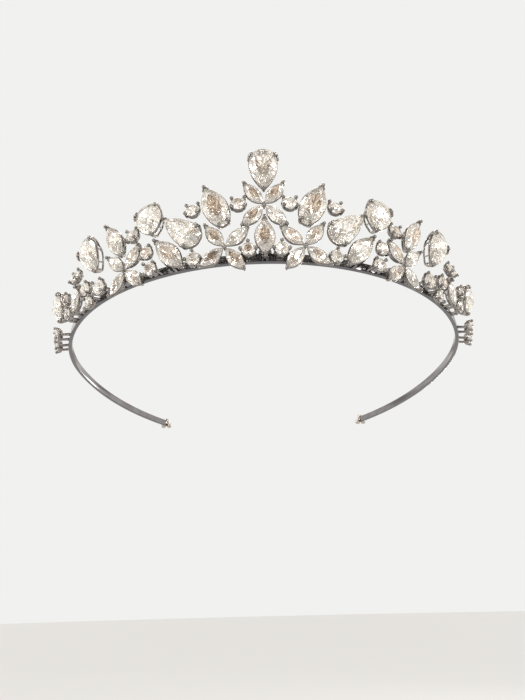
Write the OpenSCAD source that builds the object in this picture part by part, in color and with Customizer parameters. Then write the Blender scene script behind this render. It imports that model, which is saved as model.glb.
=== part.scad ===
// Bridal tiara: a sprung metal band that is worn from ear to ear, with a crown of pear, marquise
// and round stones held in wire settings along its front half.
// Frame: millimetres, +Z up through the crown, the wearer faces -Y, +X to the right seen from the
// front. The origin is the centre of the band's front half circle, level with its lower edge.

/* [Headband] */
// inside radius of the front half of the band
inner_r = 70; // [66:0.5:76]
// height of the band strip
band_h = 2.8; // [2.4:0.1:3.2]
// thickness of the band strip
band_t = 1.2; // [1:0.1:1.4]
// inside radius of the straighter arms behind the ears
arm_r = 125; // [110:1:150]
// how far back the arms reach behind the front half circle
arm_reach = 70.5; // [55:0.5:75]
// diameter of each small ball at the arm tips
bead_d = 2.6; // [2:0.1:3]

/* [Crown] */
// outward lean of the crown from upright, in degrees
flare = 11; // [8:0.5:14]
// distance of the stone girdles in front of the band's inside face, at its lower edge
stand_off = 4.8; // [4.6:0.1:6]
// diameter of the prong wire
prong_d = 0.7; // [0.6:0.05:0.8]
// diameter of the ball on the end of each prong
claw_d = 0.85; // [0.75:0.05:0.95]
// diameter of the pins that solder the settings to the band
pin_d = 0.8; // [0.7:0.05:0.9]

/* [Stones] */
// scale of every stone against its nominal size
stone_scale = 1; // [0.9:0.01:1]
// width of the centre pear stone
centre_pear_w = 7.6; // [6.6:0.1:7.8]
// length of the centre pear stone
centre_pear_l = 12.2; // [11:0.1:12.4]
// length of one petal of the flowers
petal_l = 7.4; // [7:0.1:7.5]
// width of one petal of the flowers
petal_w = 3.7; // [3.2:0.1:3.8]

/* [Output] */
// node to draw

/* [Hidden] */

$fn = 48;
outline_n = 16;
girdle_r = inner_r + stand_off;
girdle_t = 0.25;
silver = [0.82, 0.82, 0.84];
crystal = [0.94, 0.94, 0.96, 0.6];
left = -1;
right = 1;

// stone sizes as [length, width], nominal
centre_pear_size = [centre_pear_l, centre_pear_w];
centre_marquise_size = [10.2, 5.2];
petal_size = [petal_l, petal_w];
spire_size = [12.6, 6.6];
sweep_size = [12.8, 6.8];
crest_size = [10.2, 8];
slant_size = [11.6, 5.4];
leaf_size = [11.6, 5.2];
tail_size = [8, 3.8];
side_size = [13.2, 7.8];
end_size = [12, 7.4];

// petal directions of a flower, in degrees outward from upright
inner_petals = [37, 125, 217, 308];
outer_petals = [45, 135, 225, 315];
centre_petals = [40, 135, 225, 320];

// small round stones along the base as [angle round the band, height, diameter, prong turn]
base_rounds = [
  [3.35, 1.6, 3.7, 45],
  [14.7, 0.6, 3.8, 45],
  [24.6, 0.6, 3.8, 0],
  [25.3, 5.5, 3.8, 0],
  [39.6, 1.6, 4.6, 0],
  [43.6, -1.2, 3.6, 0],
  [44.8, 3.6, 4.2, 0],
  [55, 1.2, 4, 0],
  [69.5, 2.4, 4.4, 0],
  [76, 2.2, 4, 0]
];
// round stones along the top as [angle, height, diameter, upward tip]
upper_rounds = [
  [5.1, 14.6, 4.4, 24],
  [14.4, 14.4, 4.2, 24],
  [28.6, 12, 4.2, 20],
  [48.6, 9.9, 4.4, 25],
  [55.4, 6.2, 3.8, 10]
];

// ---------- outlines and cut stones ----------

// half width of a marquise outline at angle t round it
function marquise_x(t, l, w) = -w / 2 * sin(t) * abs(sin(t));

// distance from the pear's middle to the centre of its round end
function pear_c(l, w) = -(l - w) / 2;

// half width of a pear at height y: parabola-like sides to the point, half circle at the round end
function pear_half(y, l, w) = y > pear_c(l, w)
  ? w / 2 * (1 - pow((y - pear_c(l, w)) / (l / 2 - pear_c(l, w)), 2.3))
  : sqrt(max(0, w * w / 4 - pow(y - pear_c(l, w), 2)));

// half width of a drop outline: a marquise's pointed half above half an ellipse
function drop_x(t, l, w) = cos(t) > 0 ? marquise_x(t, l, w) : -w / 2 * sin(t);

function side_sign(t) = t < 180 ? -1 : 1;

// outline as a list of points, counter-clockwise, point of the pear at +Y
function outline(kind, l, w) = [
  for (i = [0 : outline_n - 1])
    let (t = (i + 0.001) * 360 / outline_n, y = l / 2 * cos(t))
      kind == "pear"
        ? [side_sign(t) * pear_half(y, l, w), y]
        : [kind == "drop" ? drop_x(t, l, w) : marquise_x(t, l, w), y]
];

// the same outline widened by e all round
function wider(kind, l, w, e) = outline(kind, l + 2.6 * e, w + 2 * e);

function at_depth(pts, s, z) = [for (p = pts) [p[0] * s, p[1] * s, z]];

// faceted stone: table, crown, thin girdle and a pavilion that closes on a small keel
module gem(kind, size) {
  l = size[0] * stone_scale;
  w = size[1] * stone_scale;
  pts = outline(kind, l, w);
  rings = concat(
    at_depth(pts, 0.58, 0.15 * w),
    at_depth(pts, 1, 0),
    at_depth(pts, 1, -girdle_t),
    at_depth(pts, 0.14, -girdle_t - 0.34 * w)
  );
  top = [for (i = [outline_n - 1 : -1 : 0]) i];
  bottom = [for (i = [0 : outline_n - 1]) i + 3 * outline_n];
  walls = [
    for (k = [0 : 2], i = [0 : outline_n - 1])
      let (a = k * outline_n, j = (i + 1) % outline_n)
        [a + i, a + j, a + j + outline_n, a + i + outline_n]
  ];
  polyhedron(rings, concat([top, bottom], walls));
}

// round brilliant: flat table, sloping crown, girdle and conical pavilion
module brilliant(d) {
  r = d / 2 * stone_scale;
  rotate_extrude()
    polygon([
      [0, 0.32 * r],
      [0.58 * r, 0.32 * r],
      [r, 0],
      [r, -girdle_t],
      [0, -girdle_t - 0.72 * r]
    ]);
}

// ---------- wire settings ----------

// flat wire loop that follows a stone's outline, from z0 upwards
module wire_loop(kind, size, grow, wire, z0, tall) {
  translate([0, 0, z0])
    linear_extrude(tall)
      difference() {
        polygon(wider(kind, size[0], size[1], grow + wire / 2));
        polygon(wider(kind, size[0], size[1], grow - wire / 2));
      }
}

// upright prong with a ball on its end
module prong(x, y, deep) {
  translate([x, y, -deep])
    cylinder(h = deep + 0.5, d = prong_d);
  translate([x, y, 0.5])
    sphere(d = claw_d);
}

// prongs of a pear setting: one at the point, two over the shoulders of the round end
module pear_prongs(size, deep) {
  c = pear_c(size[0], size[1]);
  r = size[1] / 2 + 0.42;
  prong(0, size[0] / 2 + 0.42, deep);
  for (s = [left, right])
    prong(s * r * cos(38), c - r * sin(38), deep);
}

// prongs of a drop setting: one at the point, two close together under the narrow round end
module drop_prongs(size, deep) {
  prong(0, size[0] / 2 + 0.42, deep);
  for (s = [left, right])
    prong(s * (size[1] / 2 + 0.42) * sin(25), -(size[0] / 2 + 0.42) * cos(25), deep);
}

// prongs of a marquise setting: one at each point
module marquise_prongs(size, deep) {
  for (s = [-1, 1])
    prong(0, s * (size[0] / 2 + 0.42), deep);
}

// basket for one pear or marquise: upper and lower wire loops joined by the prongs
module basket(kind, size) {
  deep = 0.34 * size[1] + 0.7;
  wire_loop(kind, size, -0.05, 0.5, -1.1, 0.45);
  wire_loop(kind, size, -0.2, 0.6, -deep, 0.5);
  if (kind == "pear")
    pear_prongs(size, deep);
  else if (kind == "drop")
    drop_prongs(size, deep);
  else
    marquise_prongs(size, deep);
}

// four-prong cup for a round stone
module cup(d, turned = 0) {
  deep = 0.36 * d + 0.7;
  r = d / 2 + 0.36;
  for (a = [45 + turned : 90 : 315 + turned])
    prong(r * cos(a), r * sin(a), deep);
  for (z = [-1.15, -deep])
    translate([0, 0, z])
      difference() {
        cylinder(h = 0.45, d = d + 0.3);
        translate([0, 0, -1])
          cylinder(h = 3, d = d - 0.8);
      }
}

// ---------- placing on the crown ----------

// puts a child on the flared crown wall: theta round the band, h up the wall,
// spin anticlockwise in the wall, tip the face upward, lift outward
module on_crown(theta, h, spin = 0, tip = 0, lift = 0) {
  rotate([0, 0, theta])
    translate([0, -girdle_r - h * tan(flare), h])
      rotate([90 + flare, 0, 0])
        rotate([-tip, 0, 0])
          translate([0, 0, lift])
            rotate([0, 0, spin])
              children();
}

// depth behind the girdle at which a pin at (x, y) on the wall meets the outside of the band
function pin_reach(h, x, y) =
  (girdle_r + h * tan(flare) + y * sin(flare)
    - sqrt(pow(inner_r + band_t + 0.1, 2) - x * x)) / cos(flare);

// pin from the back of a setting to the band
module pin(theta, h, x, y, deep) {
  reach = pin_reach(h, x, y);
  on_crown(theta, h)
    translate([x, y, -reach])
      cylinder(h = reach - deep + 0.35, d = pin_d);
}

// two pins behind a cup that sits in front of the band; a cup hung below it has them at the top
module cup_pins(theta, h, d) {
  r = d / 2 - 0.1;
  y = h < 0 ? 0.35 - h : -r * sin(20);
  for (e = [left, right])
    pin(theta, h, e * sqrt(r * r - y * y), y, 0.36 * d + 0.7);
}

// moves a petal out along its own direction from the flower's middle
module petal_at(lean, size) {
  rotate([0, 0, -lean])
    translate([0, size[0] / 2 + 0.75, 0])
      children();
}

module flower_stones(petals) {
  for (a = petals)
    petal_at(a, petal_size)
      gem("marquise", petal_size);
}

// petal loops, one prong at each outer tip and a ball in the middle that holds the inner tips
module flower_setting(petals) {
  deep = 0.34 * petal_w + 0.7;
  for (a = petals) {
    petal_at(a, petal_size)
      wire_loop("marquise", petal_size, -0.2, 0.5, -deep, 0.5);
    petal_at(a, petal_size)
      wire_loop("marquise", petal_size, -0.1, 0.4, -1, 0.45);
    petal_at(a, petal_size)
      prong(0, petal_size[0] / 2 + 0.36, deep);
  }
  translate([0, 0, -deep])
    cylinder(h = deep + 0.1, d = 1.36);
  translate([0, 0, 0.1])
    sphere(d = 1.36);
}

module centre_pear_place() { on_crown(0, 24.1, 180, 0, 0.3) children(); }
module centre_flower_place() { on_crown(0, 13.9) children(); }
module centre_marquise_place() { on_crown(0, 5.1) children(); }
module inner_flower_place(s) { on_crown(s * 8.1, 2.6) children(); }
module spire_place(s) { on_crown(s * 9.7, 14, -s * 24, 0, 0.6) children(); }
module sweep_place(s) { on_crown(s * 16.9, 9, -s * 49, 0, 0.5) children(); }
module crest_place(s) { on_crown(s * 23.8, 14.2, 180 - s * 14, 6, 0.8) children(); }
module slant_place(s) { on_crown(s * 20, 3.4, -s * 40) children(); }
module leaf_place(s) { on_crown(s * 33.2, 12.2, -s * 24, 0, 0.5) children(); }
module tail_place(s) { on_crown(s * 49.8, 2.7, s * 30) children(); }
module outer_flower_place(s) { on_crown(s * 31.2, 2.6) children(); }
module side_place(s) { on_crown(s * 41.6, 12.2, 180 - s * 25, 0, 0.6) children(); }
module end_place(s) { on_crown(s * 61, 6.4, 180 - s * 25, 0, 0.4) children(); }

// ---------- the parts ----------

// front half circle and two straighter arms, bent from one flat strip
module headband() {
  reach = arm_reach + 2;
  shift = arm_r - inner_r;
  color(silver) {
    difference() {
      cylinder(h = band_h, r = inner_r + band_t, $fn = 180);
      translate([0, 0, -1])
        cylinder(h = band_h + 2, r = inner_r, $fn = 180);
      translate([-100, 0, -1])
        cube([200, 100, band_h + 2]);
    }
    for (s = [left, right])
      intersection() {
        translate([-s * shift, 0, 0])
          difference() {
            cylinder(h = band_h, r = arm_r + band_t, $fn = 180);
            translate([0, 0, -1])
              cylinder(h = band_h + 2, r = arm_r, $fn = 180);
          }
        translate([s > 0 ? 0 : -100, 0, -1])
          cube([100, arm_reach, band_h + 2]);
      }
  }
}

// three small balls round a thin peg, closing the tip of one arm
module tip_beads(s) {
  x = sqrt(pow(arm_r + band_t / 2, 2) - pow(arm_reach, 2)) - (arm_r - inner_r);
  color(silver)
    translate([s * x, arm_reach + bead_d / 2 + 0.05, band_h / 2]) {
      rotate([90, 0, 0])
        cylinder(d = bead_d * 0.19, h = bead_d + 0.1, center = true);
      for (a = [90, 210, 330])
        translate([bead_d * 0.6 * cos(a), 0, bead_d * 0.6 * sin(a)])
          sphere(d = bead_d);
    }
}

module centre_pear_stone() {
  color(crystal)
    centre_pear_place()
      gem("pear", centre_pear_size);
}
module centre_pear_setting() {
  color(silver)
    centre_pear_place()
      basket("pear", centre_pear_size);
}
module centre_flower_stones() {
  color(crystal)
    centre_flower_place()
      flower_stones(centre_petals);
}
module centre_flower_setting() {
  color(silver)
    centre_flower_place()
      flower_setting(centre_petals);
}
module centre_marquise_stone() {
  color(crystal)
    centre_marquise_place()
      gem("marquise", centre_marquise_size);
}
module centre_marquise_setting() {
  color(silver) {
    centre_marquise_place()
      basket("marquise", centre_marquise_size);
    for (e = [left, right])
      pin(0, 5.1, e * 1.3, -3.6, 0.34 * centre_marquise_size[1] + 0.7);
  }
}

// the petals of a flower lean the other way round on the left half
function mirrored(petals, s) = [for (a = petals) s * a];

module inner_flower_stones(s) {
  color(crystal)
    inner_flower_place(s)
      flower_stones(mirrored(inner_petals, s));
}
module inner_flower_setting(s) {
  deep = 0.34 * petal_w + 0.7;
  color(silver) {
    inner_flower_place(s)
      flower_setting(mirrored(inner_petals, s));
    pin(s * 8.1, 2.6, s * 4.5, -1.3, deep);
    pin(s * 8.1, 2.6, -s * 4, -2.4, deep);
  }
}
module outer_flower_stones(s) {
  color(crystal)
    outer_flower_place(s)
      flower_stones(mirrored(outer_petals, s));
}
module outer_flower_setting(s) {
  deep = 0.34 * petal_w + 0.7;
  color(silver) {
    outer_flower_place(s)
      flower_setting(mirrored(outer_petals, s));
    for (e = [left, right])
      pin(s * 31.2, 2.6, e * 4.4, -1.9, deep);
  }
}
module spire_pear_stone(s) {
  color(crystal)
    spire_place(s)
      gem("drop", spire_size);
}
module spire_pear_setting(s) {
  color(silver)
    spire_place(s)
      basket("drop", spire_size);
}
module sweep_pear_stone(s) {
  color(crystal)
    sweep_place(s)
      gem("pear", sweep_size);
}
module sweep_pear_setting(s) {
  color(silver)
    sweep_place(s)
      basket("pear", sweep_size);
}
module crest_pear_stone(s) {
  color(crystal)
    crest_place(s)
      gem("pear", crest_size);
}
module crest_pear_setting(s) {
  color(silver)
    crest_place(s)
      basket("pear", crest_size);
}
module slant_marquise_stone(s) {
  color(crystal)
    slant_place(s)
      gem("marquise", slant_size);
}
module slant_marquise_setting(s) {
  deep = 0.34 * slant_size[1] + 0.7;
  color(silver) {
    slant_place(s)
      basket("marquise", slant_size);
    pin(s * 20, 3.4, -s * 0.4, -3.6, deep);
    pin(s * 20, 3.4, s * 1.95, -1.7, deep);
  }
}
module leaf_marquise_stones(s) {
  color(crystal) {
    leaf_place(s)
      gem("marquise", leaf_size);
    tail_place(s)
      gem("marquise", tail_size);
  }
}
module leaf_marquise_settings(s) {
  color(silver) {
    leaf_place(s)
      basket("marquise", leaf_size);
    tail_place(s)
      basket("marquise", tail_size);
    pin(s * 49.8, 2.7, s * 1.6, -2.75, 0.34 * tail_size[1] + 0.7);
  }
}
module side_pear_stone(s) {
  color(crystal)
    side_place(s)
      gem("pear", side_size);
}
module side_pear_setting(s) {
  color(silver)
    side_place(s)
      basket("pear", side_size);
}
module end_pear_stone(s) {
  color(crystal)
    end_place(s)
      gem("pear", end_size);
}
module end_pear_setting(s) {
  color(silver) {
    end_place(s)
      basket("pear", end_size);
    pin(s * 61, 6.4, -s * 2.4, -5.2, 0.34 * end_size[1] + 0.3);
  }
}
module base_round_stones(s) {
  color(crystal)
    for (b = base_rounds)
      on_crown(s * b[0], b[1])
        brilliant(b[2]);
}
module base_round_settings(s) {
  color(silver)
    for (b = base_rounds) {
      on_crown(s * b[0], b[1])
        cup(b[2], b[3]);
      if (b[1] < 3)
        cup_pins(s * b[0], b[1], b[2]);
    }
}
module upper_round_stones(s) {
  color(crystal)
    for (b = upper_rounds)
      on_crown(s * b[0], b[1], 0, b[3])
        brilliant(b[2]);
}
module upper_round_settings(s) {
  color(silver)
    for (b = upper_rounds)
      on_crown(s * b[0], b[1], 0, b[3])
        cup(b[2]);
}

headband();
tip_beads(left);  // tip_beads_left
tip_beads(right);  // tip_beads_right
centre_pear_stone();
centre_pear_setting();
centre_flower_stones();
centre_flower_setting();
centre_marquise_stone();
centre_marquise_setting();
inner_flower_stones(left);  // inner_flower_stones_left
inner_flower_stones(right);  // inner_flower_stones_right
inner_flower_setting(left);  // inner_flower_setting_left
inner_flower_setting(right);  // inner_flower_setting_right
spire_pear_stone(left);  // spire_pear_stone_left
spire_pear_stone(right);  // spire_pear_stone_right
spire_pear_setting(left);  // spire_pear_setting_left
spire_pear_setting(right);  // spire_pear_setting_right
sweep_pear_stone(left);  // sweep_pear_stone_left
sweep_pear_stone(right);  // sweep_pear_stone_right
sweep_pear_setting(left);  // sweep_pear_setting_left
sweep_pear_setting(right);  // sweep_pear_setting_right
crest_pear_stone(left);  // crest_pear_stone_left
crest_pear_stone(right);  // crest_pear_stone_right
crest_pear_setting(left);  // crest_pear_setting_left
crest_pear_setting(right);  // crest_pear_setting_right
slant_marquise_stone(left);  // slant_marquise_stone_left
slant_marquise_stone(right);  // slant_marquise_stone_right
slant_marquise_setting(left);  // slant_marquise_setting_left
slant_marquise_setting(right);  // slant_marquise_setting_right
leaf_marquise_stones(left);  // leaf_marquise_stones_left
leaf_marquise_stones(right);  // leaf_marquise_stones_right
leaf_marquise_settings(left);  // leaf_marquise_settings_left
leaf_marquise_settings(right);  // leaf_marquise_settings_right
outer_flower_stones(left);  // outer_flower_stones_left
outer_flower_stones(right);  // outer_flower_stones_right
outer_flower_setting(left);  // outer_flower_setting_left
outer_flower_setting(right);  // outer_flower_setting_right
side_pear_stone(left);  // side_pear_stone_left
side_pear_stone(right);  // side_pear_stone_right
side_pear_setting(left);  // side_pear_setting_left
side_pear_setting(right);  // side_pear_setting_right
end_pear_stone(left);  // end_pear_stone_left
end_pear_stone(right);  // end_pear_stone_right
end_pear_setting(left);  // end_pear_setting_left
end_pear_setting(right);  // end_pear_setting_right
base_round_stones(left);  // base_round_stones_left
base_round_stones(right);  // base_round_stones_right
base_round_settings(left);  // base_round_settings_left
base_round_settings(right);  // base_round_settings_right
upper_round_stones(left);  // upper_round_stones_left
upper_round_stones(right);  // upper_round_stones_right
upper_round_settings(left);  // upper_round_settings_left
upper_round_settings(right);  // upper_round_settings_right
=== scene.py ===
"""Looks for the bridal tiara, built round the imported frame. Lengths in millimetres until the
meshes are made, where they become metres. The wearer faces -Y and +Z runs up the crown."""

import math

import bpy
import numpy as np
from mathutils import Matrix


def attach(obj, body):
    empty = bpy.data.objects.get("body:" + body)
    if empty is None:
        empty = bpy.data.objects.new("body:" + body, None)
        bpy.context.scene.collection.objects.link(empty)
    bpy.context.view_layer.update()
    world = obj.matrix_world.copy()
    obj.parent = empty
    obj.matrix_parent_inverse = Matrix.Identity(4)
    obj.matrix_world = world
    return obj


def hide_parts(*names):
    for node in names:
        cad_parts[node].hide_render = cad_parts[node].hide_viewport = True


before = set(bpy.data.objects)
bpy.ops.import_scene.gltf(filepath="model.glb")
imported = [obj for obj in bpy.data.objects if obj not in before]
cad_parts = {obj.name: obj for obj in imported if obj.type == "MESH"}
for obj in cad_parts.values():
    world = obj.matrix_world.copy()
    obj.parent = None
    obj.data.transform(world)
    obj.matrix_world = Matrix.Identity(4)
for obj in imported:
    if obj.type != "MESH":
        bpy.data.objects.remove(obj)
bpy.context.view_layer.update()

MM = 0.001

# ---------------------------------------------------------------- sizes shared with the CAD part

INNER_R = 70.0
BAND_H = 2.8
BAND_T = 1.2
ARM_R = 125.0
ARM_REACH = 70.5
BEAD_D = 2.6
FLARE = math.radians(11)
GIRDLE_R = INNER_R + 4.8

PETAL = (7.4, 3.7)
INNER_PETALS = (37, 125, 217, 308)
OUTER_PETALS = (45, 135, 225, 315)
CENTRE_PETALS = (40, 135, 225, 320)
BASE_ROUNDS = (
    (3.35, 1.6, 3.7, 45), (14.7, 0.6, 3.8, 45), (24.6, 0.6, 3.8, 0), (25.3, 5.5, 3.8, 0),
    (39.6, 1.6, 4.6, 0), (43.6, -1.2, 3.6, 0), (44.8, 3.6, 4.2, 0), (55.0, 1.2, 4.0, 0),
    (69.5, 2.4, 4.4, 0), (76.0, 2.2, 4.0, 0),
)
UPPER_ROUNDS = (
    (5.1, 14.6, 4.4, 24), (14.4, 14.4, 4.2, 24), (28.6, 12.0, 4.2, 20), (48.6, 9.9, 4.4, 25),
    (55.4, 6.2, 3.8, 10),
)


# ---------------------------------------------------------------- mesh helpers

def join(parts):
    """One (points, face lists) pair from several."""
    points, faces, base = [], [], 0
    for verts, lists in parts:
        points.append(verts)
        faces += [f + base for f in lists]
        base += len(verts)
    return np.vstack(points), faces


def ring_faces(rows, n, wrap_rows=False):
    """Quads of a grid of rows by n points whose columns close on themselves."""
    r = np.arange(rows if wrap_rows else rows - 1)[:, None]
    c = np.arange(n)[None, :]
    d, e = (r + 1) % rows, (c + 1) % n
    return np.stack([r * n + c, r * n + e, d * n + e, d * n + c], -1).reshape(-1, 4)


def tube(path, side, up, ra, rb, n=8, closed=False):
    """Wire along path: point = path + ra cos(a) side + rb sin(a) up, a from 0 to a full turn.
    An open wire gets two rounded ends, where the radii fall as a quarter circle. side is turned
    over where it has to be for the faces to look outward."""
    path, side, up = (np.asarray(x, float) for x in (path, side, up))
    if np.sum(np.cross(side, up) * np.gradient(path, axis=0)) < 0:
        side = -side
    ra = np.broadcast_to(np.asarray(ra, float), len(path)).copy()
    rb = np.broadcast_to(np.asarray(rb, float), len(path)).copy()
    if not closed:
        q = np.radians([80, 52, 24])
        more = len(q)
        ends = []
        for k, sign in ((0, -1), (-1, 1)):
            along = path[k] - path[k - 1 if k else 1]
            along /= np.linalg.norm(along)
            r = min(ra[k], rb[k])
            pts = path[k] + along * r * np.sin(q)[:, None]
            ends.append((pts, np.cos(q)))
        first, last = ends
        path = np.vstack([first[0], path, last[0][::-1]])
        ra = np.concatenate([ra[0] * first[1], ra, ra[-1] * last[1][::-1]])
        rb = np.concatenate([rb[0] * first[1], rb, rb[-1] * last[1][::-1]])
        side, up = (
            np.vstack([x[[0]].repeat(more, 0), x, x[[-1]].repeat(more, 0)]) for x in (side, up))
    a = np.arange(n) * 2 * np.pi / n
    grid = (
        path[:, None]
        + ra[:, None, None] * np.cos(a)[None, :, None] * side[:, None]
        + rb[:, None, None] * np.sin(a)[None, :, None] * up[:, None]
    )
    rows = len(path)
    faces = [ring_faces(rows, n, closed)]
    if not closed:
        faces += [np.arange(n)[None, ::-1], (np.arange(n) + (rows - 1) * n)[None, :]]
    return grid.reshape(-1, 3), faces


def ball(centre, r, n=12):
    """Ball as rings of latitude: radius r cos(b) at height r sin(b), closed by a fan at each pole."""
    b = np.radians(np.linspace(-90, 90, n // 2 + 2)[1:-1])
    a = np.arange(n) * 2 * np.pi / n
    grid = np.stack(
        [
            np.cos(b)[:, None] * np.cos(a),
            np.cos(b)[:, None] * np.sin(a),
            np.sin(b)[:, None] * np.ones(n),
        ],
        -1,
    ).reshape(-1, 3)
    verts = np.vstack([grid, [[0, 0, -1], [0, 0, 1]]]) * r + np.asarray(centre, float)
    c = np.arange(n)
    e = (c + 1) % n
    rows = len(b)
    low = np.stack([e, c, np.full(n, rows * n)], -1)
    top = (rows - 1) * n
    high = np.stack([c + top, e + top, np.full(n, rows * n + 1)], -1)
    return verts, [ring_faces(rows, n), low, high]


def smooth_path(knots, n):
    """Catmull-Rom curve through the knots, n points in all."""
    k = np.asarray(knots, float)
    k = np.vstack([2 * k[0] - k[1], k, 2 * k[-1] - k[-2]])
    u = np.linspace(0, len(k) - 3 - 1e-6, n)
    i = u.astype(int)
    t = (u - i)[:, None]
    a, b, c, d = k[i], k[i + 1], k[i + 2], k[i + 3]
    return 0.5 * (
        2 * b + (c - a) * t + (2 * a - 5 * b + 4 * c - d) * t**2
        + (3 * b - a - 3 * c + d) * t**3
    )


def unit(v):
    return v / np.linalg.norm(v, axis=-1, keepdims=True)


def piece(name, parts, finish, nodes, smooth=True, painted_reflection=None):
    """Makes the mesh object, gives it its finish, hangs it on the root body and hides the frame parts
    it stands for.
    """
    verts, faces = join(parts)
    mesh = bpy.data.meshes.new(name)
    mesh.from_pydata((verts * MM).tolist(), [], [row for f in faces for row in f.tolist()])
    mesh.validate()
    # The stones' painted reflections: one number for each face, read by their finish.
    if painted_reflection is not None:
        layer = mesh.attributes.new("glint", "FLOAT", "FACE")
        layer.data.foreach_set("value", painted_reflection.astype(np.float32))
    mesh.polygons.foreach_set("use_smooth", [smooth] * len(mesh.polygons))
    mesh.materials.append(finish)
    obj = bpy.data.objects.new(name, mesh)
    bpy.context.scene.collection.objects.link(obj)
    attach(obj, "root")
    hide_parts(*nodes)
    return obj


# ---------------------------------------------------------------- places on the crown wall

def turn(axis, degrees):
    a = math.radians(degrees)
    c, s = math.cos(a), math.sin(a)
    i, j = [(1, 2), (2, 0), (0, 1)]["xyz".index(axis)]
    m = np.eye(3)
    m[i, i] = m[j, j] = c
    m[i, j], m[j, i] = -s, s
    return m


def wall(theta, h, spin=0.0, tip=0.0, lift=0.0):
    """Place on the flared crown: theta round the band, h up it, spin in the wall, face tipped up."""
    stand = turn("x", 90 + math.degrees(FLARE)) @ turn("x", -tip)
    out = np.array([0, -GIRDLE_R - h * math.tan(FLARE), h]) + stand @ np.array([0, 0, lift])
    rz = turn("z", theta)
    return rz @ stand @ turn("z", spin), rz @ out


def put(part, place):
    matrix, origin = place
    return part[0] @ matrix.T + origin, part[1]


# ---------------------------------------------------------------- cut stones

STONE_HEIGHTS = (0.16, 0.38, 0.035)  # crown, pavilion and girdle, as shares of the width
TABLE, STAR = 0.56, 0.79  # how far in the table's and the stars' corners sit
# Tones of a table's painted reflection: DARK tints it brown as if it mirrored dark surroundings,
# LIGHT leaves it near white.
LIGHT, MIDDLE, DARK = 0.4, 0.9, 1.6  # tones of a table


def outline(kind, l, w, t):
    """Outline point at angle t: a circle, a marquise of two bowed sides, a pear with its point at
    +Y, or a drop, whose lower half is half an ellipse. y = l/2 cos t; the marquise's half width
    is w/2 sin^2 t."""
    y = l / 2 * np.cos(t)
    if kind == "round":
        return np.stack([-w / 2 * np.sin(t), y], -1)
    if kind in ("marquise", "drop"):
        power = np.where((kind == "drop") & (np.cos(t) < 0), 1, np.abs(np.sin(t)))
        return np.stack([-w / 2 * np.sin(t) * power, y], -1)
    c = -(l - w) / 2
    side = w / 2 * (1 - np.clip((y - c) / (l / 2 - c), 0, 1) ** 2.3)
    end = np.sqrt(np.clip(w * w / 4 - (y - c) ** 2, 0, None))
    return np.stack([-np.sign(np.sin(t) + 1e-12) * np.where(y > c, side, end), y], -1)


def outward(pts):
    """Outward unit normals of a closed anticlockwise outline."""
    d = unit(np.roll(pts, -1, 0) - np.roll(pts, 1, 0))
    return np.stack([d[:, 1], -d[:, 0]], -1)


def gem(kind, l, w, mains=8, culet=0.0):
    """Brilliant-cut stone. With k over the mains and half steps between them: table corners T_k,
    star corners S_k+1/2, girdle corners G_k and G_k+1/2, pavilion corners L_k+1/2, one culet.
    Facets: table, stars, kites, upper and lower halves, girdle and pavilion mains. culet is how
    far along the stone the point behind it sits."""
    k = np.arange(mains)
    full = outline(kind, l, w, k * 2 * np.pi / mains + 1e-6)
    half = outline(kind, l, w, (k + 0.5) * 2 * np.pi / mains)
    crown, depth, girdle = (share * w for share in STONE_HEIGHTS)

    def level(p, scale, z, y0=0.0):
        return np.column_stack([p[:, 0] * scale, (p[:, 1] - y0) * scale + y0, np.full(len(p), z)])

    table = level(full, TABLE, crown, culet * 0.3)
    star = level(half, STAR, 0.53 * crown, culet * 0.3)
    up_a, up_b = level(full, 1, 0), level(half, 1, 0)
    lo_a, lo_b = level(full, 1, -girdle), level(half, 1, -girdle)
    deep = level(half, 0.34, -girdle - 0.70 * depth, culet)
    tip = np.array([[0, culet, -girdle - depth]])
    verts = np.vstack([table, star, up_a, up_b, lo_a, lo_b, deep, tip])
    T, S, A, B, C, D, L = (np.arange(mains) + i * mains for i in range(7))
    P = np.full(mains, 7 * mains)

    def n(q):
        return np.roll(q, -1)

    def p(q):
        return np.roll(q, 1)

    def tri(a, b, c):
        return np.stack([a, b, c], -1)

    faces = [
        T[None, :],
        tri(T, S, n(T)),
        tri(T, A, S), tri(T, p(S), A),
        tri(S, A, B), tri(S, B, n(A)),
        np.stack([A, C, D, B], -1), np.stack([B, D, n(C), n(A)], -1),
        tri(C, L, D), tri(D, L, n(C)),
        tri(C, P, L), tri(C, p(L), P),
    ]
    return verts, faces


def painted_glints(parts, seed, tone=None):
    """A number for each facet that sets its painted reflection: random, but high on some of the
    tables, which are painted as if they mirror the dark.
    tone sets the table's number when it is known."""
    rng = np.random.default_rng(seed)
    lists = join(parts)[1]
    return np.concatenate([
        rng.random(len(f)) * 0.9 if len(f) > 1
        else rng.choice([LIGHT, MIDDLE, DARK] if tone is None else [tone], 1)
        for f in lists])


# ---------------------------------------------------------------- wire settings

def loop(kind, l, w, scale, grow, z, ra, rb, n=44):
    """Closed wire that follows the outline, scaled and then grown outwards, at height z."""
    t = np.arange(n) * 2 * np.pi / n
    pts = outline(kind, l, w, t)
    nrm = outward(pts)
    path = np.column_stack([pts * scale + nrm * grow, np.full(n, z)])
    side = np.column_stack([nrm, np.zeros(n)])
    return tube(path, side, np.tile([0, 0, 1.0], (n, 1)), ra, rb, 8, closed=True)


def peg(x, y, z, r):
    """Straight wire along +Z through (x, y), from the first to the last of the heights z."""
    n = len(z)
    path = np.column_stack([np.full(n, x), np.full(n, y), z])
    return tube(path, np.tile([1.0, 0, 0], (n, 1)), np.tile([0, 1.0, 0], (n, 1)), r, r)


def edge(kind, l, w, a):
    """Outline points at the angles a, with their outward normals."""
    pts = outline(kind, l, w, a)
    d = unit(np.gradient(pts, axis=0))
    return pts, np.stack([d[:, 1], -d[:, 0]], -1)


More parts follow.
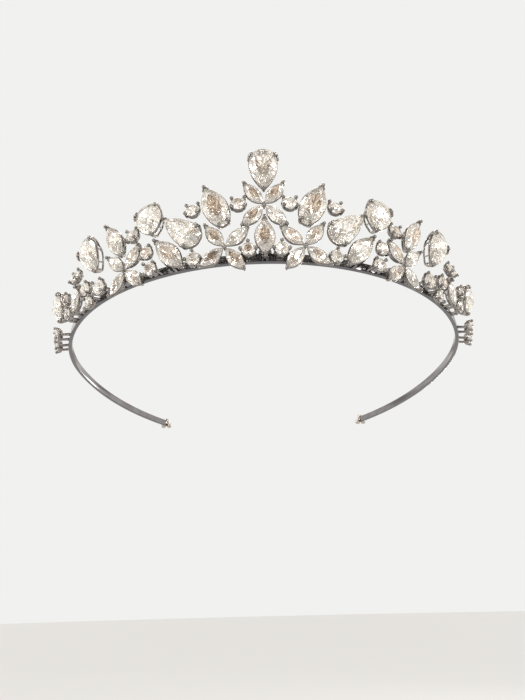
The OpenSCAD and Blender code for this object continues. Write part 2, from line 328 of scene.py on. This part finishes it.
def strip(pts, nrm, gap, z, ra, rb):
    """Upright strip that stands gap outside the outline points, at height z."""
    n = len(pts)
    path = np.column_stack([pts + nrm * gap, np.zeros(n) + z])
    side = np.column_stack([nrm, np.zeros(n)])
    return tube(path, side, np.tile([0, 0, 1.0], (n, 1)), ra, rb, 8)


def claw(kind, l, w, t, knots, r0=0.3, r1=0.4, n=16):
    """Prong rising beside the stone at outline angle t. knots are (offset out from the girdle,
    height); the wire swells from r0 to r1 at its rounded tip."""
    at = outline(kind, l, w, np.array([t - 0.02, t, t + 0.02]))
    d = unit(at[2] - at[0])
    out = np.array([d[1], -d[0]])
    if kind != "round" and abs(math.sin(t)) < 0.05:
        out = np.array([0, math.copysign(1, math.cos(t))])
    along = np.array([-out[1], out[0], 0])
    oz = smooth_path(knots, n)
    path = np.column_stack([at[1] + out * oz[:, :1], oz[:, 1]])
    tangent = unit(np.gradient(path, axis=0))
    up = np.tile(along, (n, 1))
    side = np.cross(up, tangent)
    r = r0 + (r1 - r0) * np.linspace(0, 1, n) ** 2
    return tube(path, side, up, r * 0.9, r, 8)


def fold(kind, l, w, end, z=-0.08, reach=0.45, ra=0.26, rb=0.62):
    """V-shaped tip guard: a thin upright strip bent round the stone's point."""
    u = np.linspace(-1, 1, 13)
    pts, nrm = edge(kind, l, w, reach * u + (0 if end > 0 else math.pi))
    return strip(pts, nrm, 0.16, z, ra, rb * (1 - 0.35 * u**2))


def guard(kind, l, w, t, reach=0.24):
    """Curved upright strip that hugs the girdle where a claw comes over it."""
    u = np.linspace(-1, 1, 13)
    bow = 1 - u**4
    pts, nrm = edge(kind, l, w, t + reach * u)
    return strip(pts, nrm, 0.2, 0.05 + 0.1 * bow, 0.3, 0.34 + 0.2 * bow)


def post(kind, l, w, t, deep, scale):
    """Upright wire between the upper and the lower loop."""
    p = outline(kind, l, w, np.array([t]))[0]
    nrm = unit(p)
    knots = np.array([
        [*(p * scale), -deep + 0.25],
        [*(p * (scale + 1) / 2 + nrm * 0.05), -0.55 * deep - 0.2],
        [*(p + nrm * 0.02), -0.75],
    ])
    path = smooth_path(knots, 7)
    tangent = unit(np.gradient(path, axis=0))
    up = np.tile([-nrm[1], nrm[0], 0], (7, 1))
    return tube(path, np.cross(up, tangent), up, 0.22, 0.22, 6)


def depth_of(w):
    """Depth of a basket behind the girdle of a stone of width w."""
    return 0.34 * w + 0.7


def cup_depth(d):
    """The same for the cup of a round stone of diameter d."""
    return 0.27 * d + 0.7


def basket(kind, l, w, claws, folds=(1,), posts=()):
    """Setting of one pear or marquise: two loops, posts, claws and tip guards."""
    deep = depth_of(w)
    low = 0.74
    parts = [
        loop(kind, l, w, 1.0, -0.04, -0.72, 0.25, 0.4),
        loop(kind, l, w, low, 0.0, -deep + 0.28, 0.3, 0.27),
    ]
    lean = (1 - low) * w / 2
    knots = [(-lean, -deep + 0.3), (-lean * 0.3, -deep * 0.62), (0.2, -0.8), (0.3, -0.05),
             (0.2, 0.42), (-0.12, 0.64), (-0.42, 0.62)]
    parts += [claw(kind, l, w, math.radians(a), knots, 0.38, 0.46) for a in claws]
    if kind == "pear":
        parts += [guard(kind, l, w, math.radians(a)) for a in claws]
    lean = (1 - low) * l / 2
    knots = [(-lean, -deep + 0.3), (-lean * 0.3, -deep * 0.6), (0.15, -0.7), (0.4, -0.05),
             (0.36, 0.45), (0.0, 0.72)]
    for e in folds:
        parts.append(fold(kind, l, w, e))
        parts.append(claw(kind, l, w, 0.0 if e > 0 else math.pi, knots, 0.38, 0.54))
    parts += [post(kind, l, w, math.radians(a), deep, low) for a in posts]
    return parts


def cup(d, turned=0):
    """Four-claw cup of a round stone: three loops and ball-tipped claws."""
    deep = cup_depth(d)
    parts = [
        loop("round", d, d, 1.0, -0.08, -0.72, 0.24, 0.32, 32),
        loop("round", d, d, 0.87, 0.0, -0.5 * deep - 0.25, 0.2, 0.3, 32),
        loop("round", d, d, 0.72, 0.0, -deep + 0.26, 0.28, 0.26, 32),
    ]
    lean = 0.28 * d / 2
    knots = [(-lean, -deep + 0.3), (-lean * 0.4, -deep * 0.65), (0.18, -0.85), (0.3, -0.1),
             (0.27, 0.3)]
    for a in (45, 135, 225, 315):
        t = math.radians(a + turned)
        parts.append(claw("round", d, d, t, knots, 0.26, 0.33, 12))
        x, y = outline("round", d, d, np.array([t]))[0]
        s = 1 + 0.22 / (d / 2)
        parts.append(ball((x * s, y * s, 0.5), 0.54))
    return parts


def petal_place(lean, l, gap):
    """Matrix and shift that carry a petal out from the flower's middle along its direction."""
    m = turn("z", -lean)
    return m, m @ np.array([0, l / 2 + gap, 0])


def flower_stones(petals):
    """Petals that reach a little further in than their settings, so that they nearly meet."""
    l, w = PETAL[0] + 0.35, PETAL[1]
    return [put(gem("marquise", l, w), petal_place(a, l, 0.4)) for a in petals]


def flower_setting(petals):
    """Joined setting of a flower: two loops, a tip guard, a claw and two posts for each petal,
    a middle post and a bead between each pair of petals."""
    l, w = PETAL
    deep = depth_of(w)
    lean = 0.24 * l / 2
    knots = [(-lean, -deep + 0.3), (-lean * 0.3, -deep * 0.6), (0.15, -0.7), (0.34, -0.05),
             (0.26, 0.4), (-0.05, 0.62)]
    parts = []
    for a in petals:
        place = petal_place(a, l, 0.75)
        wires = [
            loop("marquise", l, w, 1.0, -0.04, -0.62, 0.22, 0.32),
            loop("marquise", l, w, 0.76, 0.0, -deep + 0.26, 0.26, 0.25),
            fold("marquise", l, w, 1, z=-0.1, reach=0.5, ra=0.2, rb=0.5),
            claw("marquise", l, w, 0.0, knots, 0.34, 0.5),
            post("marquise", l, w, math.radians(90), deep, 0.76),
            post("marquise", l, w, math.radians(270), deep, 0.76),
        ]
        parts += [put(q, place) for q in wires]
    parts.append(peg(0, 0, np.linspace(-deep + 0.3, 0.1, 6), 0.5))
    for a, b in zip(petals, petals[1:] + petals[:1]):
        mid = math.radians((a + ((b - a) % 360) / 2) % 360)
        parts.append(ball((0.5 * math.sin(mid), 0.5 * math.cos(mid), 0.28), 0.3, 8))
    return parts


def pin(theta, h, x, y, deep):
    """Short peg from the back of a setting to the band's front face."""
    reach = (GIRDLE_R + h * math.tan(FLARE) + y * math.sin(FLARE)
             - math.sqrt((INNER_R + BAND_T - 0.05) ** 2 - x * x)) / math.cos(FLARE)
    foot = 0.44 + 0.12 * np.linspace(1, 0, 5) ** 2
    return put(peg(x, y, np.linspace(-reach, -deep + 0.35, 5), foot), wall(theta, h))


# ---------------------------------------------------------------- band and tip beads

def band_path(n_front=150, n_arm=60):
    """Middle line of the strip: half circle in front, an arc of larger radius behind each ear."""
    r, big = INNER_R + BAND_T / 2, ARM_R + BAND_T / 2
    shift = ARM_R - INNER_R
    end = math.asin(ARM_REACH / big)
    a = np.radians(np.linspace(-90, 90, n_front))
    front = np.column_stack([r * np.sin(a), -r * np.cos(a)])
    b = np.linspace(0, end, n_arm + 1)[1:]
    right = np.column_stack([big * np.cos(b) - shift, big * np.sin(b)])
    left = right[::-1] * [-1, 1]
    return np.vstack([left, front, right])


def band():
    """Strip with eased edges: a rounded rectangle swept along the middle line."""
    xy = band_path()
    d = unit(np.gradient(xy, axis=0))
    out = np.column_stack([d[:, 1], -d[:, 0], np.zeros(len(d))])
    hw, hh, e = BAND_T / 2, BAND_H / 2, 0.28
    q = np.radians([0, 22.5, 45, 67.5, 90])
    corner = np.column_stack([np.cos(q), np.sin(q)]) * e
    section = np.vstack([
        corner + [hw - e, hh - e],
        corner[::-1] * [-1, 1] + [-hw + e, hh - e],
        corner * -1 + [-hw + e, -hh + e],
        corner[::-1] * [1, -1] + [hw - e, -hh + e],
    ])
    n = len(section)
    grid = (
        np.column_stack([xy, np.full(len(xy), BAND_H / 2)])[:, None]
        + section[None, :, :1] * out[:, None]
        + section[None, :, 1:] * np.array([0, 0, 1.0])
    )
    rows = len(xy)
    caps = [np.arange(n)[None, ::-1], (np.arange(n) + (rows - 1) * n)[None, :]]
    return [(grid.reshape(-1, 3), [f[:, ::-1] for f in [ring_faces(rows, n)] + caps])]


def tip_beads(s):
    """Three small balls soldered round the end of one arm, with a collar between them."""
    x = math.sqrt((ARM_R + BAND_T / 2) ** 2 - ARM_REACH**2) - (ARM_R - INNER_R)
    centre = np.array([s * x, ARM_REACH + BEAD_D / 2 + 0.05, BAND_H / 2])
    parts = [ball(centre, BEAD_D * 0.4, 16)]
    for a in np.radians([90, 210, 330]):
        at = centre + BEAD_D * 0.6 * np.array([math.cos(a), 0, math.sin(a)])
        parts.append(ball(at, BEAD_D / 2, 20))
    return parts


# ---------------------------------------------------------------- finishes

class Value:
    """A shader number. Python operators on it add Math nodes."""

    def __init__(self, tree, socket):
        self.tree, self.socket = tree, socket

    def _math(self, kind, a, b=0.0):
        return self.tree.node("ShaderNodeMath", {"operation": kind}, {0: a, 1: b})

    def __add__(self, o):
        return self._math("ADD", self, o)

    def __radd__(self, o):
        return self._math("ADD", o, self)

    def __sub__(self, o):
        return self._math("SUBTRACT", self, o)

    def __rsub__(self, o):
        return self._math("SUBTRACT", o, self)

    def __mul__(self, o):
        return self._math("MULTIPLY", self, o)

    def __rmul__(self, o):
        return self._math("MULTIPLY", o, self)

    def __pow__(self, o):
        return self._math("POWER", self, o)

    def __abs__(self):
        return self._math("ABSOLUTE", self)


class Tree:
    """A shader node tree, with one method that makes any node."""

    def __init__(self, tree):
        self.tree = tree

    def node(self, kind, settings=None, inputs=None, out=0):
        n = self.tree.nodes.new(kind)
        for key, value in (settings or {}).items():
            if key == "stops":
                self._stops(n.color_ramp, value)
            else:
                setattr(n, key, value)
        for key, value in (inputs or {}).items():
            self.feed(n.inputs[key], value)
        return Value(self, n.outputs[out]) if n.outputs else n

    def _stops(self, ramp, stops):
        while len(ramp.elements) < len(stops):
            ramp.elements.new(0.5)
        for element, (at, colour) in zip(ramp.elements, stops):
            element.position = at
            element.color = (*colour, 1)

    def feed(self, socket, value):
        if isinstance(value, Value):
            self.tree.links.new(value.socket, socket)
        else:
            socket.default_value = value

    def ramp(self, number, stops):
        return self.node("ShaderNodeValToRGB", {"stops": stops}, {0: number})

    def vector(self, kind, inputs):
        return self.node("ShaderNodeVectorMath", {"operation": kind}, inputs)

    def mix(self, factor, a, b):
        a, b = (c if isinstance(c, Value) else (*c, 1) for c in (a, b))
        return self.node("ShaderNodeMix", {"data_type": "RGBA"}, {0: factor, 6: a, 7: b}, 2)

    def where(self):
        """Object coordinates."""
        return self.node("ShaderNodeTexCoord", out=3)

    def noise(self, where, scale, detail=2.0):
        return self.node("ShaderNodeTexNoise", {}, {
            "Vector": where, "Scale": scale, "Detail": detail})


class Finish(Tree):
    """A material with one Principled shader. settings name the numbers that are the same all
    over it."""

    def __init__(self, name, settings):
        self.material = bpy.data.materials.new(name)
        self.material.use_nodes = True
        super().__init__(self.material.node_tree)
        self.shader = next(n for n in self.tree.nodes if n.type == "BSDF_PRINCIPLED")
        for key, value in settings.items():
            self.shader.inputs[key].default_value = value

    def set(self, name, value):
        self.feed(self.shader.inputs[name], value)


def metal(name, colour, dark, rough, grain, dents):
    """Bright plate: slight tone and gloss changes, fine tumbling marks."""
    f = Finish(name, {"Metallic": 1.0})
    cloud = f.noise(f.where(), 260, 3)
    fine = f.noise(f.where(), 2600, 2)
    f.set("Base Color", f.mix(cloud**1.5, colour, dark))
    f.set("Roughness", rough + 0.10 * cloud + 0.05 * fine)
    f.set("Normal", f.node("ShaderNodeBump", {}, {
        "Strength": dents, "Distance": 0.00004, "Height": cloud + grain * fine}))
    return f.material


def stone(name):
    """Clear high-index stone. Facets differ a little in painted tint, a painted reflection of the
    other light that their backs catch, and a mosaic of small tilted cells, tinted as painted
    reflections, stands for the many images inside a cut stone. A faint painted glow lifts the whole
    stone."""
    # Emission is a painted glow: the stone is no lamp.
    f = Finish(name, {
        "Roughness": 0.0, "IOR": 2.2, "Transmission Weight": 0.97, "Emission Strength": 0.07})
    glint = f.node("ShaderNodeAttribute", {"attribute_name": "glint"}, out=2)
    cell = f.node("ShaderNodeTexVoronoi", {}, {"Vector": f.where(), "Scale": 820.0}, 1)
    lean = f.vector("SUBTRACT", {0: cell, 1: (0.5, 0.5, 0.5)})
    lean = f.vector("SCALE", {0: lean, "Scale": 0.27 - 0.10 * glint})
    lean = f.vector("ADD", {0: lean, 1: f.node("ShaderNodeNewGeometry", out=1)})
    f.set("Normal", f.vector("NORMALIZE", {0: lean}))
    cell_reflection = f.node("ShaderNodeSeparateXYZ", {}, {0: cell})
    # Painted reflections: facet numbers and cells tint the stone from white to warm brown; the
    # painted glow is dimmer on the darker ones.
    painted_reflection = 0.62 * glint + 0.36 * cell_reflection
    f.set("Base Color", f.ramp(painted_reflection, (
        (0.0, (1.0, 1.0, 1.0)), (0.45, (1.0, 0.985, 0.95)), (0.64, (0.97, 0.92, 0.84)),
        (0.82, (0.78, 0.68, 0.57)), (0.98, (0.50, 0.36, 0.26)))))
    f.set("Emission Color", f.ramp(painted_reflection, (
        (0.0, (1.0, 0.98, 0.94)), (0.5, (0.9, 0.82, 0.70)), (0.85, (0.2, 0.12, 0.07)))))
    return f.material


# These base colours are darker than bare polished silver: a painted reflection of dark surroundings,
# darkest on the band; the beads' warm tint is a painted reflection of warm surroundings.
BAND_FINISH = metal("polished_band", (0.22, 0.215, 0.225), (0.10, 0.10, 0.11), 0.06, 0.3, 0.12)
WIRE_FINISH = metal("setting_wire", (0.42, 0.40, 0.385), (0.09, 0.078, 0.072), 0.05, 0.5, 0.25)
BEAD_FINISH = metal("bright_beads", (0.60, 0.54, 0.49), (0.42, 0.37, 0.33), 0.12, 0.4, 0.15)
STONE_FINISH = stone("clear_stone")

# ---------------------------------------------------------------- assembly

LEFT, RIGHT = -1, 1
SIDES = {"left": LEFT, "right": RIGHT}


def stones(name, parts, seed, tone=None):
    piece(name, parts, STONE_FINISH, [name], False, painted_glints(parts, seed, tone))


def wires(name, parts):
    piece(name, parts, WIRE_FINISH, [name])


def single(base, kind, size, place, claws, folds, posts, seed, tone, suffix="", pins=(),
           culet=0.0):
    """One stone and its basket."""
    mains = 12 if size[1] > 5 else 8
    stones(base + "_stone" + suffix, [put(gem(kind, *size, mains, culet), place)], seed, tone)
    parts = [put(q, place) for q in basket(kind, *size, claws, folds, posts)]
    wires(base + "_setting" + suffix, parts + list(pins))


def flower(base, place, petals, seed, suffix="", pins=()):
    stones(base + "_stones" + suffix, [put(q, place) for q in flower_stones(petals)], seed)
    wires(base + "_setting" + suffix, [put(q, place) for q in flower_setting(petals)] + list(pins))


PEAR_CLAWS = (128, 232)
PEAR_POSTS = (50, 90, 160, 200, 270, 310)
LEAF_POSTS = (60, 90, 120, 240, 270, 300)

piece("headband", band(), BAND_FINISH, ["headband"])
for word, s in SIDES.items():
    name = "tip_beads_" + word
    piece(name, tip_beads(s), BEAD_FINISH, [name])

single("centre_pear", "pear", (12.2, 7.6), wall(0, 24.1, 180, 0, 0.3), PEAR_CLAWS, (1,),
       PEAR_POSTS, 1, MIDDLE, culet=-1.2)
flower("centre_flower", wall(0, 13.9), CENTRE_PETALS, 2)
single("centre_marquise", "marquise", (10.2, 5.2), wall(0, 5.1), (), (1, -1), LEAF_POSTS, 3, DARK,
       pins=[pin(0, 5.1, e * 1.3, -3.6, depth_of(5.2)) for e in (-1, 1)])

for word, s in SIDES.items():
    tail = "_" + word
    seed = 10 if s > 0 else 50
    mirrored = lambda petals: tuple(s * a for a in petals)
    flower("inner_flower", wall(s * 8.1, 2.6), mirrored(INNER_PETALS), seed, tail, [
        pin(s * 8.1, 2.6, s * 4.5, -1.3, depth_of(PETAL[1])),
        pin(s * 8.1, 2.6, -s * 4.0, -2.4, depth_of(PETAL[1]))])
    flower("outer_flower", wall(s * 31.2, 2.6), mirrored(OUTER_PETALS), seed + 1, tail, [
        pin(s * 31.2, 2.6, e * 4.4, -1.9, depth_of(PETAL[1])) for e in (-1, 1)])
    single("spire_pear", "drop", (12.6, 6.6), wall(s * 9.7, 14, -s * 24, 0, 0.6), (155, 205),
           (1,), LEAF_POSTS, seed + 2, DARK, tail, culet=-0.6)
    single("sweep_pear", "pear", (12.8, 6.8), wall(s * 16.9, 9, -s * 49, 0, 0.5), PEAR_CLAWS,
           (1,), PEAR_POSTS, seed + 3, LIGHT, tail, culet=-1.2)
    single("crest_pear", "pear", (10.2, 8.0), wall(s * 23.8, 14.2, 180 - s * 14, 6, 0.8),
           PEAR_CLAWS, (1,), PEAR_POSTS, seed + 4, MIDDLE if s > 0 else LIGHT, tail, culet=-0.6)
    single("slant_marquise", "marquise", (11.6, 5.4), wall(s * 20, 3.4, -s * 40), (), (1, -1),
           LEAF_POSTS, seed + 5, LIGHT if s > 0 else DARK, tail, [
               pin(s * 20, 3.4, -s * 0.4, -3.6, depth_of(5.4)),
               pin(s * 20, 3.4, s * 1.95, -1.7, depth_of(5.4))])
    single("side_pear", "pear", (13.2, 7.8), wall(s * 41.6, 12.2, 180 - s * 25, 0, 0.6),
           PEAR_CLAWS, (1,), PEAR_POSTS, seed + 6, LIGHT, tail, culet=-1.2)
    single("end_pear", "pear", (12.0, 7.4), wall(s * 61, 6.4, 180 - s * 25, 0, 0.4), PEAR_CLAWS,
           (1,), PEAR_POSTS, seed + 7, LIGHT, tail, [
               pin(s * 61, 6.4, -s * 2.4, -5.2, depth_of(7.4) - 0.4)], culet=-1.2)
    leaves = [("marquise", 11.6, 5.2, wall(s * 33.2, 12.2, -s * 24, 0, 0.5)),
              ("marquise", 8.0, 3.8, wall(s * 49.8, 2.7, s * 30))]
    stones("leaf_marquise_stones" + tail,
           [put(gem(k, l, w, 12 if w > 5 else 8), p) for k, l, w, p in leaves], seed + 8)
    wires("leaf_marquise_settings" + tail,
          [put(q, p) for k, l, w, p in leaves for q in basket(k, l, w, (), (1, -1), LEAF_POSTS)]
          + [pin(s * 49.8, 2.7, s * 1.6, -2.75, depth_of(3.8))])
    low = [(d, t, wall(s * a, h)) for a, h, d, t in BASE_ROUNDS]
    stones("base_round_stones" + tail, [put(gem("round", d, d), p) for d, t, p in low], seed + 9)
    pegs = []
    for a, h, d, t in BASE_ROUNDS:
        if h < 3:
            r = d / 2 - 0.1
            y = 0.35 - h if h < 0 else -r * math.sin(math.radians(20))
            x = math.sqrt(r * r - y * y)
            pegs += [pin(s * a, h, e * x, y, cup_depth(d)) for e in (-1, 1)]
    wires("base_round_settings" + tail, [put(q, p) for d, t, p in low for q in cup(d, t)] + pegs)
    high = [(d, wall(s * a, h, 0, tip)) for a, h, d, tip in UPPER_ROUNDS]
    stones("upper_round_stones" + tail, [put(gem("round", d, d), p) for d, p in high], seed + 20)
    wires("upper_round_settings" + tail, [put(q, p) for d, p in high for q in cup(d)])


# ---------------------------------------------------------------- stage, light and camera

def pale_floor(z=-0.26, radius=9.0, n=64):
    """Round pale floor well below the tiara. It glows a little, as if lit from all round."""
    pale = Finish("pale_floor", {
        "Base Color": (0.28, 0.276, 0.27, 1), "Roughness": 0.9,
        "Emission Color": (0.49, 0.488, 0.478, 1), "Emission Strength": 1.0})
    a = np.arange(n) * 2 * np.pi / n
    ring = np.column_stack([radius * np.cos(a), radius * np.sin(a), np.full(n, z)])
    mesh = bpy.data.meshes.new("pale_floor")
    mesh.from_pydata(ring.tolist(), [], [list(range(n))])
    mesh.materials.append(pale.material)
    obj = bpy.data.objects.new("pale_floor", mesh)
    bpy.context.scene.collection.objects.link(obj)


def studio_room():
    """Plain pale surroundings to look at. What the metal and stones mirror is a softly uneven
    room: pale to the left and right, with warm dark parts in front and above."""
    world = bpy.data.worlds.new("studio")
    world.use_nodes = True
    world.node_tree.nodes.clear()
    t = Tree(world.node_tree)
    way = t.node("ShaderNodeTexCoord", out=0)
    x, y = (t.node("ShaderNodeSeparateXYZ", {}, {0: way}, axis) for axis in (0, 1))
    tone = t.noise(way, 2.6, 1.0) + 0.36 * abs(x) + 0.10 * y
    room = t.node("ShaderNodeBackground", {}, {0: t.ramp(tone, (
        (0.46, (0.06, 0.045, 0.035)), (0.57, (0.50, 0.455, 0.405)), (0.76, (1.42, 1.36, 1.27))))})
    seen = t.node("ShaderNodeBackground", {}, {0: (0.88, 0.88, 0.865, 1)})
    direct = t.node("ShaderNodeLightPath")
    both = t.node("ShaderNodeMixShader", {}, {0: direct, 1: room, 2: seen})
    t.node("ShaderNodeOutputWorld", {}, {0: both})
    bpy.context.scene.world = world


def soft_light(name, at, size, watts, colour=(1, 1, 1)):
    """Round soft lamp that faces the tiara and isn't seen itself."""
    data = bpy.data.lights.new(name, "AREA")
    data.shape = "DISK"
    data.size = size
    data.energy = watts
    data.color = colour
    obj = bpy.data.objects.new(name, data)
    bpy.context.scene.collection.objects.link(obj)
    z = unit(np.array(at, float))
    x = unit(np.cross([0, 0, 1.0], z))
    y = np.cross(z, x)
    obj.matrix_world = Matrix([[x[i], y[i], z[i], at[i]] for i in range(3)] + [[0, 0, 0, 1]])
    obj.visible_camera = False


def camera():
    """Low in front and looking up at the crown."""
    az, el, roll = math.radians(0.668), math.radians(25.179), math.radians(-1.399)
    fwd = np.array([math.sin(az) * math.cos(el), math.cos(az) * math.cos(el), math.sin(el)])
    right = np.array([math.cos(az), -math.sin(az), 0.0])
    up = np.cross(right, fwd)
    r = math.cos(roll) * right + math.sin(roll) * up
    u = -math.sin(roll) * right + math.cos(roll) * up
    data = bpy.data.cameras.new("camera")
    data.lens = 27.72
    data.sensor_width = 36
    data.sensor_fit = "AUTO"
    data.clip_start = 0.01
    data.clip_end = 20
    obj = bpy.data.objects.new("camera", data)
    bpy.context.scene.collection.objects.link(obj)
    at = np.array([-2.667, -189.985, -81.523]) * MM
    obj.matrix_world = Matrix([[r[i], u[i], -fwd[i], at[i]] for i in range(3)] + [[0, 0, 0, 1]])
    bpy.context.scene.camera = obj


pale_floor()
studio_room()
camera()
soft_light("key", (-0.8, -0.9, 1.1), 0.4, 5, (1.0, 0.98, 0.95))
soft_light("fill", (1.1, -0.8, 0.5), 0.3, 3, (1.0, 0.99, 0.98))
soft_light("top", (0.1, 0.4, 1.3), 0.5, 4)
soft_light("low", (0.35, -1.2, 0.15), 0.3, 1.8, (1.0, 0.96, 0.9))
soft_light("side", (-1.1, -0.5, 0.2), 0.2, 1.7, (1.0, 0.98, 0.95))
soft_light("rear", (0.6, 1.1, 0.3), 0.25, 1.6, (1.0, 0.98, 0.95))

scene = bpy.context.scene
scene.view_settings.view_transform = "Standard"
scene.cycles.max_bounces = 16
scene.cycles.transmission_bounces = 14
scene.cycles.transparent_max_bounces = 8
scene.cycles.caustics_reflective = False
scene.cycles.caustics_refractive = False
